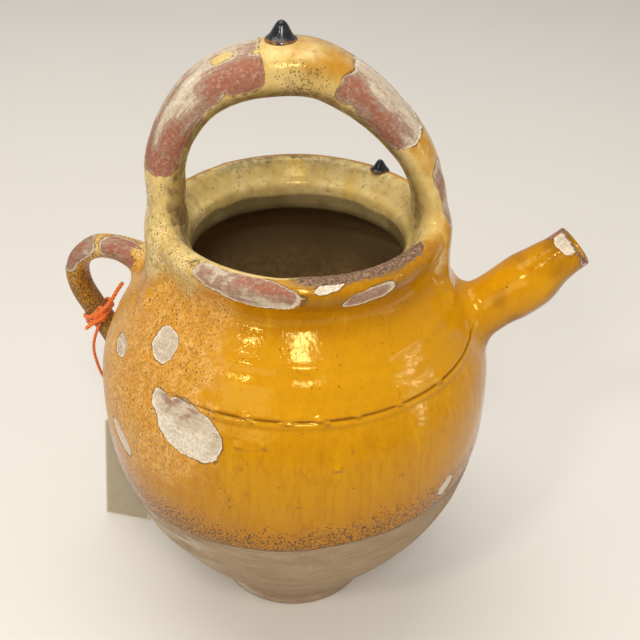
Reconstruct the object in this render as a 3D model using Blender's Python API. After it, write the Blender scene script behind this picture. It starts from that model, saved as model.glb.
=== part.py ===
"""Glazed earthenware water jug: thrown body, spout, bail handle, side handle and a swinging tag.

Metres, +Z up.  The origin is the centre of the flat base, and the spout points along +X.
Pieces that the potter luted together are separate solids with a hairline gap between them.
"""
import bpy
import bmesh
from math import cos, pi, radians, sin
from mathutils import Matrix, Vector

# ---- Driving dimensions ---------------------------------------------------------------------
BELLY_RADIUS = 0.107        # widest half-width of the body
BASE_RADIUS = 0.0475        # flat resting base
SEAM_HEIGHT = 0.1890        # join between the two thrown halves of the body
COLLAR_HEIGHT = 0.2240      # where the collar sits on the shoulder
RIM_HEIGHT = 0.2472         # crest of the rim
THROAT_RADIUS = 0.0553      # narrowest part of the mouth
WALL = 0.006                # body wall
GAP = 0.0003                # hairline between pieces that touch

BAIL_TURN = radians(5)      # the arched handle's plane, turned from the spout's
BAIL_TOP = 0.3210           # centre of the arch at its highest

SIDE_TURN = radians(163)    # the side handle's plane
SPOUT_BORE = 0.0068         # radius of the hole down the spout
SPOUT_INLET = 0.0048        # radius of the same hole through the shoulder's wall

STRING_RADIUS = 0.00095
TIE_RADIUS = 0.1231         # the string's loop goes round the side handle's leg here
TIE_HEIGHT = 0.1579
TIE_SLOPE = radians(32.5)   # the leg leans outwards, and the loop is square to it
TIE_REACH = (0.0074, 0.0093)
TIE_START = radians(152)    # the loop leaves the knot here and comes back to it there
TIE_END = radians(469)
TAG_SIZE = (0.030, 0.080, 0.0010)                 # width, height, thickness
TAG_CLIP = 0.007                                  # cut off the card's two upper corners
TAG_PIVOT = Vector((-0.1149, 0.0266, 0.1608))     # middle of the knot that the tag swings from
TAG_HEADING = radians(-10)                        # compass direction of the card's lower edge
TAG_LEAN = radians(9)                             # the card's top leans back
TAG_TILT = radians(2)                             # and sideways, towards the jug
TAG_DROP = 0.1193                                 # knot down to the middle of the card
TAG_SHIFT = 0.0050                                # middle of the card from the knot, sideways
TAG_HOLE_RADIUS = 0.0024
TAG_HOLE_INSET = 0.0060                           # hole's centre below the card's top edge
KNOT_RADIUS = 0.0032

TURN_STEPS = 48             # facets round a turned piece


# ---- Materials ------------------------------------------------------------------------------
def material(name, color, roughness, metallic=0.0):
    mat = bpy.data.materials.new(name)
    mat.use_nodes = True
    shader = mat.node_tree.nodes["Principled BSDF"]
    shader.inputs["Base Color"].default_value = (*color, 1.0)
    shader.inputs["Roughness"].default_value = roughness
    shader.inputs["Metallic"].default_value = metallic
    mat.diffuse_color = (*color, 1.0)
    return mat


# ---- Shape helpers --------------------------------------------------------------------------
def smooth_line(points, steps):
    """Catmull-Rom curve through the points, of any dimension, with this many steps a span."""
    rows = [Vector(p) for p in points]
    ends = [2 * rows[0] - rows[1]] + rows + [2 * rows[-1] - rows[-2]]
    line = []
    for i in range(1, len(ends) - 2):
        a, b, c, d = ends[i - 1:i + 3]
        for step in range(steps):
            t = step / steps
            line.append(0.5 * (2 * b + (c - a) * t + (2 * a - 5 * b + 4 * c - d) * t ** 2
                               + (3 * b - a - 3 * c + d) * t ** 3))
    return line + [rows[-1]]


def add_object(name, mesh, mat=None, smooth=True):
    if smooth:
        mesh.shade_smooth()
        mesh.set_sharp_from_angle(angle=radians(40))
    obj = bpy.data.objects.new(name, mesh)
    bpy.context.scene.collection.objects.link(obj)
    if mat is not None:
        mesh.materials.append(mat)
    return obj


def mesh_from(build, name):
    """Mesh of the bmesh that build(bm) fills, with its faces turned outwards."""
    bm = bmesh.new()
    build(bm)
    bmesh.ops.recalc_face_normals(bm, faces=bm.faces)
    mesh = bpy.data.meshes.new(name)
    bm.to_mesh(mesh)
    bm.free()
    return mesh


def turned(name, profile, mat=None, steps=TURN_STEPS):
    """Solid of revolution round Z.  The closed profile lists (radius, z); radius 0 is a pole."""
    def build(bm):
        rings = []
        for radius, z in profile:
            if radius == 0:
                rings.append([bm.verts.new((0, 0, z))] * steps)
            else:
                angles = [2 * pi * i / steps for i in range(steps)]
                rings.append([bm.verts.new((radius * cos(a), radius * sin(a), z)) for a in angles])
        for ring, following in zip(rings, rings[1:] + rings[:1]):
            for i in range(steps):
                j = (i + 1) % steps
                corners = list(dict.fromkeys((ring[i], ring[j], following[j], following[i])))
                if len(corners) > 2:
                    bm.faces.new(corners)
    return add_object(name, mesh_from(build, name), mat)


def swept(name, rows, across, mat=None, sides=14, extra=0.0):
    """Solid along a flat path.  A row is x, y, z, half-thickness and half-width along across."""
    def build(bm):
        centres = [Vector(row[:3]) for row in rows]
        rings = []
        for i, row in enumerate(rows):
            ahead = centres[min(i + 1, len(rows) - 1)] - centres[max(i - 1, 0)]
            outward = ahead.cross(across).normalized()
            ring = []
            for k in range(sides):
                angle = 2 * pi * k / sides
                reach = outward * (row[3] + extra) * cos(angle) + across * (row[4] + extra) * sin(angle)
                ring.append(bm.verts.new(centres[i] + reach))
            rings.append(ring)
        for ring, following in zip(rings, rings[1:]):
            for k in range(sides):
                m = (k + 1) % sides
                bm.faces.new((ring[k], ring[m], following[m], following[k]))
        bm.faces.new(rings[0])
        bm.faces.new(rings[-1])
    return add_object(name, mesh_from(build, name), mat)


def in_plane(rows, turn):
    """Rows given as radius, z, half-thickness, half-width, stood in the upright plane at turn."""
    return [(r * cos(turn), r * sin(turn), z, thick, wide) for r, z, thick, wide in rows]


def plane_normal(turn):
    return Vector((-sin(turn), cos(turn), 0))


def string(name, points, mat, cyclic=False):
    """String along these points, as a round bevelled curve with filled ends."""
    curve = bpy.data.curves.new(name, "CURVE")
    curve.dimensions = "3D"
    curve.bevel_depth = STRING_RADIUS
    curve.bevel_resolution = 2
    curve.use_fill_caps = not cyclic
    curve.materials.append(mat)
    spline = curve.splines.new("POLY")
    spline.points.add(len(points) - 1)
    for point, place in zip(spline.points, points):
        point.co = (*place, 1.0)
    spline.use_cyclic_u = cyclic
    obj = bpy.data.objects.new(name, curve)
    bpy.context.scene.collection.objects.link(obj)
    return obj


def cut(obj, cutter):
    """Take the cutter's shape away from the object, and keep the cutter only as a guide."""
    boolean = obj.modifiers.new("cut_by_" + cutter.name, "BOOLEAN")
    boolean.operation = "DIFFERENCE"
    boolean.object = cutter
    cutter.hide_render = True
    cutter.display_type = "WIRE"


# ---- The jug's outer line -------------------------------------------------------------------
def body_line():
    """(radius, z) down the outside of the lower body, from the seam to the edge of the base."""
    belly = [(0.0955, SEAM_HEIGHT), (0.1046, 0.168), (BELLY_RADIUS, 0.142), (0.1052, 0.115),
             (0.0990, 0.089), (0.0868, 0.065), (0.0703, 0.040), (0.0570, 0.0195)]
    foot = [(0.0505, 0.0120), (0.0485, 0.0075), (0.0485, 0.0025), (BASE_RADIUS, 0.0)]
    return [tuple(p) for p in smooth_line(belly, 2)] + foot


def shoulder_line():
    """(radius, z) down the outside of the shoulder, from the collar to the seam."""
    return [tuple(p) for p in smooth_line(
        [(0.0690, COLLAR_HEIGHT), (0.0745, 0.2175), (0.0830, 0.2085), (0.0910, 0.1970),
         (0.0955, SEAM_HEIGHT)], 2)]


def collar_line():
    """(radius, z) from the crest of the rim down the outside of the collar."""
    return [(0.0672, RIM_HEIGHT), (0.0712, 0.2462), (0.0738, 0.2425), (0.0730, 0.2370),
            (0.0700, 0.2310), (0.0690, COLLAR_HEIGHT)]


def throat_line():
    """(radius, z) from the crest of the rim down the inside of the collar."""
    return [(0.0672, RIM_HEIGHT), (0.0640, 0.2462), (0.0615, 0.2430), (0.0585, 0.2385),
            (THROAT_RADIUS, 0.2340), (THROAT_RADIUS, COLLAR_HEIGHT)]


# ---- Turned pieces --------------------------------------------------------------------------
def make_lower_body(mat):
    top = SEAM_HEIGHT - GAP / 2
    outer = body_line()
    outer[0] = (outer[0][0], top)
    inside = [(r - WALL, z) for r, z in outer[:-4] if z > 0.03]
    floor = [(0.046, 0.0185), (0.030, 0.0105), (0.0, 0.0090)]
    return turned("lower_body", outer + [(0.0, 0.0)] + floor[::-1] + inside[::-1], mat)


def make_shoulder(mat):
    outer = shoulder_line()
    outer[0] = (outer[0][0], COLLAR_HEIGHT - GAP / 2)
    outer[-1] = (outer[-1][0], SEAM_HEIGHT + GAP / 2)
    inner = [(THROAT_RADIUS, COLLAR_HEIGHT - GAP / 2), (0.0560, 0.2205), (0.0620, 0.2160),
             (0.0740, 0.2070), (0.0840, 0.1960), (outer[-1][0] - WALL, SEAM_HEIGHT + GAP / 2)]
    return turned("shoulder", outer + inner[::-1], mat)


def make_collar(mat):
    outer, inner = collar_line(), throat_line()
    outer[-1] = (outer[-1][0], COLLAR_HEIGHT + GAP / 2)
    inner[-1] = (inner[-1][0], COLLAR_HEIGHT + GAP / 2)
    return turned("collar", outer + inner[:0:-1], mat)


def make_jug_envelope():
    """The jug's filled outer shape, a hairline bigger, which pieces stuck onto it are cut to."""
    line = collar_line()[:-1] + shoulder_line()[:-1] + body_line()[:-1]
    grown = [(r + GAP, z) for r, z in line]
    grown[0] = (line[0][0], RIM_HEIGHT + GAP)
    return turned("jug_envelope", [(0.0, RIM_HEIGHT + GAP)] + grown + [(0.0, grown[-1][1])])


# ---- Pieces stuck onto the jug --------------------------------------------------------------
def bail_rows():
    """The arched handle from leg to leg; each leg spreads where it grips the collar."""
    path = [(0.0712, 0.2110, 0.0072, 0.0235), (0.0700, 0.2270, 0.0082, 0.0255),
            (0.0688, 0.2400, 0.0084, 0.0220),
            (0.0665, 0.2520, 0.0086, 0.0190), (0.0622, 0.2670, 0.0090, 0.0185),
            (0.0545, 0.2820, 0.0098, 0.0185), (0.0420, 0.2970, 0.0108, 0.0188),
            (0.0260, 0.3105, 0.0116, 0.0190), (0.0080, BAIL_TOP - 0.0015, 0.0120, 0.0190),
            (-0.0120, BAIL_TOP, 0.0120, 0.0190), (-0.0310, 0.3175, 0.0116, 0.0190),
            (-0.0470, 0.3080, 0.0108, 0.0188), (-0.0588, 0.2925, 0.0102, 0.0186),
            (-0.0644, 0.2750, 0.0098, 0.0185), (-0.0652, 0.2580, 0.0092, 0.0192),
            (-0.0675, 0.2420, 0.0088, 0.0220), (-0.0695, 0.2270, 0.0082, 0.0255),
            (-0.0712, 0.2110, 0.0072, 0.0235)]
    return in_plane(smooth_line(path, 2), BAIL_TURN)


def make_bail(mat, envelope):
    bail = swept("bail_handle", bail_rows(), plane_normal(BAIL_TURN), mat, sides=16)
    cut(bail, envelope)
    return bail


def make_side_handle(mat, envelope):
    path = [(0.078, 0.1945, 0.0080, 0.0110), (0.092, 0.2015, 0.0070, 0.0095),
            (0.105, 0.2047, 0.0060, 0.0080), (0.118, 0.2035, 0.0060, 0.0078),
            (0.1288, 0.1965, 0.0060, 0.0078), (0.1340, 0.1860, 0.0060, 0.0078),
            (0.1325, 0.1745, 0.0060, 0.0078), (0.1265, 0.1632, 0.0060, 0.0078),
            (0.1195, 0.1522, 0.0062, 0.0078), (0.1105, 0.1400, 0.0075, 0.0090),
            (0.1010, 0.1290, 0.0085, 0.0120)]
    rows = in_plane(smooth_line(path, 2), SIDE_TURN)
    handle = swept("side_handle", rows, plane_normal(SIDE_TURN), mat, sides=12)
    cut(handle, envelope)
    return handle


def make_spout(mat, envelope, bore):
    path = [(0.086, 0.1790, 0.0170), (0.0975, 0.1895, 0.0158), (0.1065, 0.1970, 0.0153),
            (0.1155, 0.2040, 0.0164), (0.1235, 0.2110, 0.0165), (0.1310, 0.2185, 0.0142),
            (0.1370, 0.2248, 0.0121), (0.1425, 0.2310, 0.0116)]
    path = [(x, z, radius, radius) for x, z, radius in path]
    rows = in_plane(smooth_line(path, 2), 0.0)
    spout = swept("spout", rows, plane_normal(0.0), mat, sides=18)
    cut(spout, envelope)
    cut(spout, bore)
    return spout


def make_bore():
    """The hole that runs down the spout and through the shoulder's wall."""
    size, inlet = SPOUT_BORE, SPOUT_INLET
    path = [(0.079, 0.1950, inlet, inlet), (0.092, 0.1950, inlet, inlet),
            (0.104, 0.1968, inlet + 0.0008, inlet + 0.0008), (0.118, 0.2055, size, size),
            (0.1315, 0.2190, size, size), (0.148, 0.2370, size + 0.0024, size + 0.0024)]
    return swept("spout_bore", in_plane(smooth_line(path, 2), 0.0), plane_normal(0.0), sides=12)


def make_knob(name, place, radius, height, depth, mat, support):
    """Pointed clay pellet that stands at place, with its underside cut to what it sits on."""
    profile = [(0.0, place.z + height), (radius * 0.30, place.z + height * 0.90),
               (radius * 0.62, place.z + height * 0.52), (radius * 0.90, place.z + height * 0.18),
               (radius, place.z), (radius * 0.96, place.z - depth), (0.0, place.z - depth)]
    knob = turned(name, profile, mat, steps=16)
    knob.data.transform(Matrix.Translation((place.x, place.y, 0.0)))
    cut(knob, support)
    return knob


# ---- The tag on its string ------------------------------------------------------------------
def swing_axis():
    return Vector((cos(TAG_HEADING), sin(TAG_HEADING), 0))


def tag_axes():
    """Across the card, up the card and out of its face, as unit vectors."""
    level = swing_axis()
    back = Vector((-level.y, level.x, 0))
    leaning = Vector((0, 0, cos(TAG_LEAN))) + back * sin(TAG_LEAN)
    across = level * cos(TAG_TILT) - leaning * sin(TAG_TILT)
    up = leaning * cos(TAG_TILT) + level * sin(TAG_TILT)
    return across, up, across.cross(up)


def tag_point(along, high, out=0.0):
    """World place of a point on the card: from its middle, along it, up it and off its face."""
    across, up, face = tag_axes()
    middle = TAG_PIVOT + swing_axis() * TAG_SHIFT - Vector((0, 0, TAG_DROP))
    return middle + across * along + up * high + face * out


def make_tag(paper, cord_mat):
    width, height, thick = TAG_SIZE
    side, top = width / 2, height / 2
    outline = [(-side, -top), (side, -top), (side, top - TAG_CLIP), (side - TAG_CLIP, top),
               (TAG_CLIP - side, top), (-side, top - TAG_CLIP)]

    def build(bm):
        back, front = ([bm.verts.new(tag_point(a, h, side)) for a, h in outline]
                       for side in (-thick / 2, thick / 2))
        bm.faces.new(back[::-1])
        bm.faces.new(front)
        for i in range(len(outline)):
            j = (i + 1) % len(outline)
            bm.faces.new((back[i], back[j], front[j], front[i]))
    card = add_object("tag_card", mesh_from(build, "tag_card"), paper, smooth=False)

    hole_high = height / 2 - TAG_HOLE_INSET
    across = tag_axes()[0]
    size = TAG_HOLE_RADIUS
    punch_rows = [(*tag_point(0, hole_high, out), size, size) for out in (-0.004, 0.004)]
    cut(card, swept("tag_punch", punch_rows, across, sides=12))

    ring_high = hole_high + 0.0040
    ring = []
    for step in range(16):
        angle = 2 * pi * step / 16
        ring.append(tag_point(0, ring_high + 0.0040 * sin(angle), 0.0030 * cos(angle)))
    string("card_loop", ring, cord_mat, cyclic=True)

    top = tag_point(0, ring_high + 0.0040)
    up = tag_axes()[1]
    route = [TAG_PIVOT - Vector((0, 0, KNOT_RADIUS + 2 * GAP)),
             TAG_PIVOT + Vector((-0.0024, -0.0016, -0.0090)),
             TAG_PIVOT + Vector((-0.0054, -0.0020, -0.0190)),
             TAG_PIVOT + Vector((-0.0056, -0.0008, -0.0310)),
             TAG_PIVOT + Vector((-0.0022, 0.0014, -0.0480)),
             top + up * (STRING_RADIUS + GAP + 0.0080),
             top + up * (STRING_RADIUS + GAP)]
    string("tag_string", smooth_line(route, 4), cord_mat)


def make_tie(mat):
    """The string's loop round the side handle's lower leg, and the knot that closes it."""
    outward = Vector((cos(SIDE_TURN), sin(SIDE_TURN), 0))
    nearer = plane_normal(SIDE_TURN)
    middle = outward * TIE_RADIUS + Vector((0, 0, TIE_HEIGHT))
    off_leg = outward * cos(TIE_SLOPE) - Vector((0, 0, sin(TIE_SLOPE)))
    ring = []
    for step in range(TURN_STEPS // 2):
        angle = TIE_START + (TIE_END - TIE_START) * step / (TURN_STEPS // 2 - 1)
        ring.append(middle + off_leg * TIE_REACH[0] * cos(angle) + nearer * TIE_REACH[1] * sin(angle))
    string("string_loop", ring, mat)

    def build(bm):
        bmesh.ops.create_uvsphere(bm, u_segments=14, v_segments=8, radius=KNOT_RADIUS,
                                  matrix=Matrix.Translation(TAG_PIVOT))
    add_object("string_knot", mesh_from(build, "string_knot"), mat)


# ---- Assembly -------------------------------------------------------------------------------
def main():
    for obj in list(bpy.data.objects):
        bpy.data.objects.remove(obj, do_unlink=True)

    ochre = material("ochre_glaze", (0.62, 0.27, 0.02), 0.18)
    cream = material("cream_glaze", (0.70, 0.50, 0.16), 0.25)
    dark_slip = material("dark_slip", (0.012, 0.011, 0.010), 0.15)
    orange_string = material("orange_string", (0.90, 0.16, 0.02), 0.75)
    paper = material("tag_paper", (0.72, 0.66, 0.52), 0.85)

    envelope = make_jug_envelope()
    bore = make_bore()
    make_lower_body(ochre)
    cut(make_shoulder(ochre), bore)
    make_collar(cream)
    make_bail(cream, envelope)
    make_side_handle(ochre, envelope)
    make_spout(ochre, envelope, bore)

    bail_envelope = swept("bail_envelope", bail_rows(), plane_normal(BAIL_TURN), sides=16, extra=GAP)
    knob_turn = Vector((cos(BAIL_TURN), sin(BAIL_TURN), 0)) * -0.009
    make_knob("handle_knob", knob_turn + Vector((0, 0, 0.3325)), 0.0072, 0.0095, 0.004,
              dark_slip, bail_envelope)
    rim_place = Vector((0.0675 * cos(radians(50)), 0.0675 * sin(radians(50)), RIM_HEIGHT))
    make_knob("rim_knob", rim_place, 0.0045, 0.0050, 0.0025, dark_slip, envelope)

    make_tie(orange_string)
    make_tag(paper, orange_string)


main()
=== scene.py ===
"""Looks for the glazed earthenware water jug: clay, glaze, chips, string and tag.

Metres, +Z up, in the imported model's frame.  Each luted clay piece is a dense skin of its own, and
neighbours flow into each other because both follow the same blended distance field.
"""
from itertools import product
from math import cos, pi, radians, sin

import bpy
import numpy as np
from mathutils import Matrix, Vector


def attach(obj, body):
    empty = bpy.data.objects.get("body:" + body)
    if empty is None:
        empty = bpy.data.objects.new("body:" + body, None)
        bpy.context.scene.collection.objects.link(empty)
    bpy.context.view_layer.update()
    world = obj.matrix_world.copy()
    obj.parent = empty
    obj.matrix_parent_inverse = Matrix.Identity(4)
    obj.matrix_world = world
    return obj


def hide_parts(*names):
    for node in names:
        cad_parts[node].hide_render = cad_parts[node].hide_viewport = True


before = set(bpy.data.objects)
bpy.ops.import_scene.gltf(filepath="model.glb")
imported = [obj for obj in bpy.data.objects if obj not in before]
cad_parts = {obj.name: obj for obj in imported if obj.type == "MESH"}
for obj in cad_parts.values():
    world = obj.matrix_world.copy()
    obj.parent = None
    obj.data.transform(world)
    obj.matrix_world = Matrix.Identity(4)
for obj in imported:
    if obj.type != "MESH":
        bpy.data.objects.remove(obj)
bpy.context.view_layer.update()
MM = 0.001

# Values painted on the clay skins for their material to read; chip and line are in mm.
PAINTED = ("chip", "clay", "line", "cream", "aged", "worn", "inside", "pitted", "pool")


# ---- Camera and light -----------------------------------------------------------------------
def add_object(name, data):
    obj = bpy.data.objects.new(name, data)
    bpy.context.scene.collection.objects.link(obj)
    return obj


def add_camera(place, heading, pitch, roll, lens):
    """Camera at place, looking pitch below level, turned right of +Y by heading."""
    ahead = Vector((sin(heading), cos(heading), 0))
    right = Vector((cos(heading), -sin(heading), 0))
    view = ahead * cos(pitch) - Vector((0, 0, sin(pitch)))
    top = ahead * sin(pitch) + Vector((0, 0, cos(pitch)))
    across = right * cos(roll) + top * sin(roll)
    upward = top * cos(roll) - right * sin(roll)
    data = bpy.data.cameras.new("camera")
    data.sensor_width = 36
    data.lens = lens
    data.clip_start = 0.01
    camera = add_object("camera", data)
    rotation = Matrix((across, upward, -view)).transposed()
    camera.matrix_world = Matrix.Translation(place) @ rotation.to_4x4()
    bpy.context.scene.camera = camera


def add_panel(name, place, target, size, power, color):
    """Rectangular soft light at place, facing target."""
    data = bpy.data.lights.new(name, "AREA")
    data.shape = "RECTANGLE"
    data.size, data.size_y = size
    data.energy = power
    data.color = color
    panel = add_object(name, data)
    panel.location = place
    panel.rotation_euler = (Vector(target) - Vector(place)).to_track_quat("-Z", "Y").to_euler()


def mirrored_panel(name, target, direction, reach, size, power, color):
    """Panel that the glaze mirrors at target, reach away along a direction."""
    target = Vector(target)
    add_panel(name, target + Vector(direction).normalized() * reach, target, size, power, color)


# ---- Node graphs ----------------------------------------------------------------------------
class Graph:
    """Short calls for a material's nodes.  An input may be a number, a colour or a socket."""

    def __init__(self, name):
        self.material = bpy.data.materials.new(name)
        self.material.use_nodes = True
        self.tree = self.material.node_tree
        self.shader = self.tree.nodes["Principled BSDF"]
        self.place = self.add("ShaderNodeTexCoord", {}).outputs["Object"]
        self.here = self.place

    def feed(self, socket, value):
        if isinstance(value, bpy.types.NodeSocket):
            self.tree.links.new(value, socket)
        elif socket.type == "RGBA":
            socket.default_value = (*value, 1.0)
        else:
            socket.default_value = value

    def add(self, kind, inputs, **settings):
        node = self.tree.nodes.new(kind)
        for key, value in settings.items():
            setattr(node, key, value)
        for key, value in inputs.items():
            self.feed(node.inputs[key], value)
        return node

    def attribute(self, name, output="Fac"):
        return self.add("ShaderNodeAttribute", {}, attribute_name=name).outputs[output]

    def spread(self, size, stretch, seed):
        scale = tuple(1.0 / (size * s) for s in stretch)
        return self.add("ShaderNodeMapping", {"Vector": self.here, "Scale": scale,
                                              "Location": (seed * 3.7, seed * 1.3, seed * 2.1)}
                        ).outputs["Vector"]

    def noise(self, size, detail=3.0, rough=0.5, seed=0.0, stretch=(1, 1, 1), swirl=0.0):
        """Noise from about 0 to 1 with bumps size metres apart."""
        inputs = {"Vector": self.spread(size, stretch, seed), "Scale": 1.0, "Detail": detail,
                  "Roughness": rough, "Distortion": swirl}
        return self.add("ShaderNodeTexNoise", inputs).outputs["Fac"]

    def cells(self, size, feature="F1", seed=0.0, stretch=(1, 1, 1), output="Distance"):
        """Voronoi cells size metres apart."""
        inputs = {"Vector": self.spread(size, stretch, seed), "Scale": 1.0}
        return self.add("ShaderNodeTexVoronoi", inputs, feature=feature).outputs[output]

    def step(self, value, low, high, bottom=0.0, top=1.0):
        """Smooth step of value, from bottom at low to top at high."""
        inputs = {"Value": value, "From Min": low, "From Max": high, "To Min": bottom,
                  "To Max": top}
        return self.add("ShaderNodeMapRange", inputs,
                        interpolation_type="SMOOTHSTEP").outputs["Result"]

    def math(self, operation, a, b):
        return self.add("ShaderNodeMath", {0: a, 1: b}, operation=operation).outputs[0]

    def times(self, first, *others):
        for other in others:
            first = self.math("MULTIPLY", first, other)
        return first

    def plus(self, first, *others):
        for other in others:
            first = self.math("ADD", first, other)
        return first

    def most(self, first, *others):
        for other in others:
            first = self.math("MAXIMUM", first, other)
        return first

    def less(self, value):
        return self.math("SUBTRACT", 1.0, value)

    def sway(self, noise, amount):
        """A noise's swing to either side of its middle, times an amount."""
        return self.times(self.plus(noise, -0.5), amount)

    def mix(self, share, a, b):
        return self.add("ShaderNodeMix", {0: share, 6: a, 7: b}, data_type="RGBA").outputs[2]

    def blend(self, share, a, b):
        return self.add("ShaderNodeMix", {0: share, 2: a, 3: b}, data_type="FLOAT").outputs[0]

    def ramp(self, driver, low, high, a, b):
        """Colour a where the driver is below low, and b where it is above high."""
        return self.mix(self.step(driver, low, high), a, b)

    def coats(self, color, *coats):
        """Colour under coats, each a driver, the range it sets in over, its cover and colour."""
        for driver, low, high, cover, coat in coats:
            color = self.mix(self.step(driver, low, high, 0.0, cover), color, coat)
        return color

    def finish(self, color, rough, height):
        """Plug colour, roughness and a height in metres into the shader."""
        self.feed(self.shader.inputs["Base Color"], color)
        self.feed(self.shader.inputs["Roughness"], rough)
        bump = self.add("ShaderNodeBump", {"Height": height, "Distance": 1.0, "Strength": 1.0})
        self.tree.links.new(bump.outputs["Normal"], self.shader.inputs["Normal"])
        return self.material


def earthenware():
    """Fired jug: lead glaze over white slip over red clay, driven by the skins' painted values."""
    g = Graph("glazed_earthenware")
    (chip_edge, clay_share, glaze_line, cream, aged, worn, inside, pitted,
     pool) = (g.attribute(name) for name in PAINTED)
    high = g.add("ShaderNodeSeparateXYZ", {"Vector": g.place}).outputs["Z"]
    broad = g.noise(0.050, 2, seed=1, stretch=(1, 1, 2))
    cloudy = g.noise(0.016, 4, 0.6, seed=2)
    mottle = g.noise(0.0045, 4, 0.6, seed=3)
    fine = g.noise(0.0012, 3, 0.6, seed=4)
    grain = g.noise(0.0005, 2, 0.6, seed=5)
    runs = g.noise(0.0022, 3, 0.6, seed=6, stretch=(1, 1, 9))
    drips = g.noise(0.0085, 3, 0.55, seed=11, stretch=(1, 1, 5))
    dashes = g.noise(0.00085, 3, 0.65, seed=12, stretch=(1, 1, 2.4), swirl=0.4)
    throwing = g.noise(0.0026, 3, 0.6, seed=7, stretch=(9, 9, 1))
    streak = g.noise(0.0060, 4, 0.65, seed=18, stretch=(5, 5, 1), swirl=0.3)

    # Glaze colour: golden where it is thick, tan and speckled where it has weathered
    gold = g.coats(
        g.ramp(broad, 0.35, 0.70, (0.440, 0.182, 0.0006), (0.520, 0.233, 0.0012)),
        (drips, 0.52, 0.74, 0.55, (0.585, 0.285, 0.0030)),
        (drips, 0.46, 0.28, 0.40, (0.390, 0.148, 0.0006)),
        (runs, 0.46, 0.66, 0.42, (0.385, 0.140, 0.0006)),
        (mottle, 0.58, 0.76, 0.15, (0.330, 0.120, 0.0010)),
        # painted shade: the gold darkens towards the bottom of the belly
        (high, 0.165, 0.090, 0.80, (0.300, 0.117, 0.0004)),
        (glaze_line, 24.0, 4.0, 0.50, (0.440, 0.155, 0.0012)))
    # Painted light: a brighter gold band over the upper body, up to the collar
    painted_light = g.times(g.step(high, 0.165, 0.200, 0.0, 0.45), g.step(high, 0.224, 0.216))
    gold = g.mix(painted_light, gold, (0.680, 0.320, 0.0060))
    tan = g.coats(g.ramp(mottle, 0.38, 0.66, (0.600, 0.272, 0.036), (0.735, 0.405, 0.110)),
                  (cloudy, 0.42, 0.68, 0.55, (0.600, 0.290, 0.022)))
    weathered = g.step(g.plus(aged, g.sway(cloudy, 0.8), g.sway(mottle, 0.3)), 0.25, 0.70)
    glaze = g.mix(g.times(weathered, 0.92), gold, tan)
    pale = g.coats(g.ramp(cloudy, 0.36, 0.66, (0.620, 0.440, 0.150), (0.760, 0.590, 0.260)),
                   (drips, 0.52, 0.70, 0.6, (0.660, 0.430, 0.085)),
                   (mottle, 0.52, 0.76, 0.6, (0.400, 0.285, 0.120)))
    creamy = g.step(g.plus(cream, g.sway(cloudy, 0.7)), 0.25, 0.80)
    glaze = g.mix(creamy, glaze, pale)
    dashed = g.times(g.step(dashes, 0.485, 0.60), weathered, 0.72)
    glaze = g.mix(dashed, glaze, (0.265, 0.120, 0.030))
    # Grey grime on the worn rim and inside the collar, and painted shade on the bail's underside
    grime_and_shade = g.times(g.step(worn, 0.05, 0.9),
                    g.step(g.plus(mottle, g.times(cloudy, 0.5)), 0.60, 0.88))
    glaze = g.mix(g.times(grime_and_shade, 0.80), glaze, (0.130, 0.095, 0.062))
    # Darker brown where glaze pooled in the seam, and painted shade under the rim, the bail and the
    # spout and below the burrs
    glaze = g.mix(g.times(pool, g.step(fine, 0.15, 0.75, 0.70, 1.0)), glaze, (0.190, 0.074, 0.009))

    # Pinholes in three sizes, each in its own cell, more of them where the glaze ran thin
    dense = g.plus(pitted, g.sway(cloudy, 0.5), g.sway(mottle, 0.4))
    pin = 0.0
    for cell, seed in ((0.0014, 8), (0.0010, 13), (0.0007, 19)):
        hole = g.cells(cell, seed=seed, stretch=(1, 1, 1.25))
        lottery = g.cells(cell, seed=seed, stretch=(1, 1, 1.25), output="Color")
        pick = g.math("LESS_THAN", lottery, dense)
        pin = g.most(g.times(pick, g.step(hole, 0.42, 0.26)), pin)
    speck = g.ramp(glaze_line, 24.0, 12.0, (0.150, 0.062, 0.016), (0.022, 0.008, 0.003))
    glaze = g.mix(g.times(pin, g.blend(cream, 0.92, 0.60)), glaze, speck)

    # Crazing: hair lines that show in some areas only
    craze = g.cells(0.0085, "DISTANCE_TO_EDGE", seed=14, stretch=(1, 1, 1.4))
    crazed = g.times(g.step(craze, 0.020, 0.006), g.step(g.noise(0.030, 2, seed=15), 0.46, 0.62))
    crazed = g.times(crazed, g.less(weathered), g.less(creamy), 0.34)
    glaze = g.mix(crazed, glaze, (0.230, 0.085, 0.004))

    # Bare foot below the glaze, whose lower edge is a dark lip
    edge = g.plus(glaze_line, g.sway(mottle, 1.6), g.sway(fine, 0.6))
    glazed = g.step(edge, -0.10, 0.15)
    biscuit = g.coats(g.ramp(throwing, 0.30, 0.72, (0.285, 0.194, 0.122), (0.388, 0.276, 0.186)),
                      (cloudy, 0.40, 0.72, 0.50, (0.405, 0.295, 0.208)))
    chalky = g.times(g.step(aged, 0.2, 0.9), g.step(streak, 0.40, 0.62), 0.75)
    biscuit = g.mix(chalky, biscuit, (0.620, 0.530, 0.435))
    biscuit = g.coats(biscuit, (fine, 0.56, 0.74, 0.40, (0.180, 0.108, 0.062)))
    lip = g.times(g.step(edge, 2.0, 0.5), glazed)
    glaze = g.mix(g.times(lip, 0.85), glaze, (0.105, 0.045, 0.010))
    color = g.mix(glazed, biscuit, glaze)

    # Dark raw inside, darker towards the bottom; the olive round the throat is painted shade
    deep = g.ramp(mottle, 0.35, 0.70, (0.225, 0.130, 0.055), (0.330, 0.205, 0.100))
    shaded_throat = g.ramp(cloudy, 0.35, 0.65, (0.190, 0.137, 0.058), (0.290, 0.213, 0.098))
    deep = g.ramp(high, 0.150, 0.200, deep, (0.440, 0.300, 0.150))
    deep = g.ramp(high, 0.196, 0.214, deep, shaded_throat)
    color = g.mix(inside, color, deep)

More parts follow.
